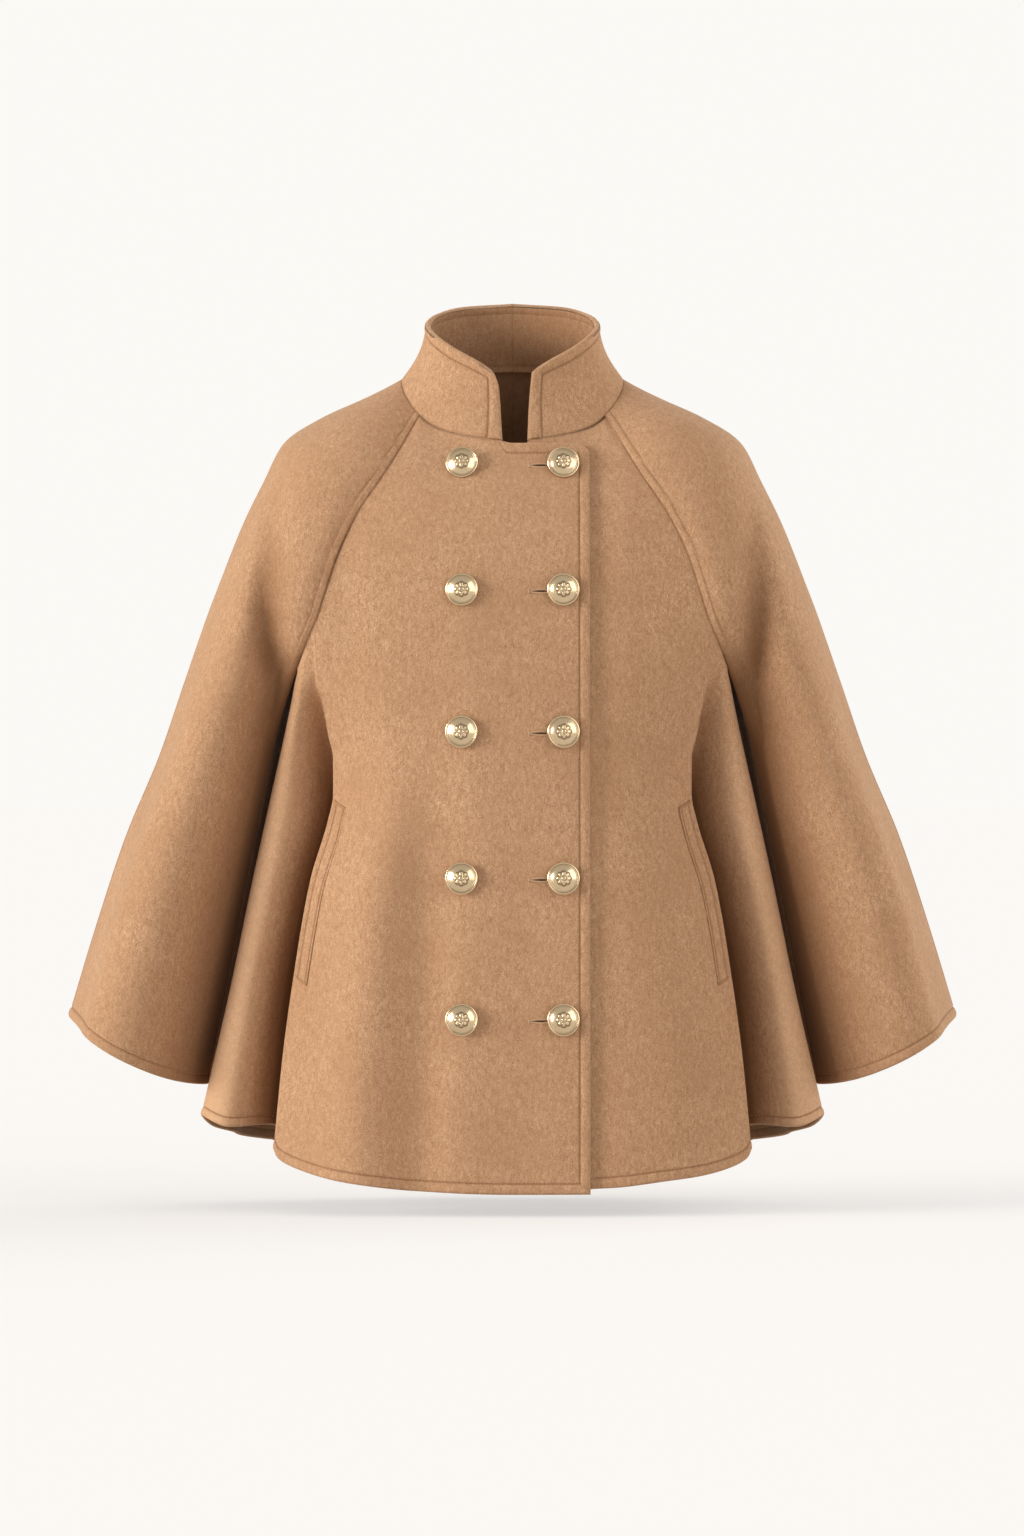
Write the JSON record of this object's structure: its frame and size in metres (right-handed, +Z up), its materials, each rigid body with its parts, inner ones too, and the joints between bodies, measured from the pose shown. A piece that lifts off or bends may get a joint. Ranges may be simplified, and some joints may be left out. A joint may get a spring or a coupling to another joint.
{
  "type": "double-breasted wool cape coat with a stand collar, filled out and worn by no one",
  "caption": "Short camel wool cape coat with a stand collar, raglan cape sleeves, welt pockets and gold dome buttons, filled out with no wearer.",
  "frame": {"origin": "the point at the base of the neck where the wearer's shoulders carry the coat, on its centre plane", "axes": "+Z up along the wearer, -Y out of the coat's front, +X to the wearer's left"},
  "size_m": [0.784, 0.2907, 0.7781],
  "materials": {
    "wool": "brushed wool melton with a short nap",
    "brass": "pale gold plate, polished dome and rim"
  },
  "bodies": {
    "root": {"front_right": "wool", "front_left": "wool", "side_right": "wool", "side_left": "wool", "back_right": "wool", "back_left": "wool", "sleeve_front_right": "wool", "sleeve_back_right": "wool", "sleeve_front_left": "wool", "sleeve_back_left": "wool", "collar_right": "wool", "collar_left": "wool", "pocket_welt_right": "wool", "pocket_welt_left": "wool", "button_outer_1": "brass", "button_outer_2": "brass", "button_outer_3": "brass", "button_outer_4": "brass", "button_outer_5": "brass", "button_inner_1": "brass", "button_inner_2": "brass", "button_inner_3": "brass", "button_inner_4": "brass", "button_inner_5": "brass"}
  },
  "joints": []
}
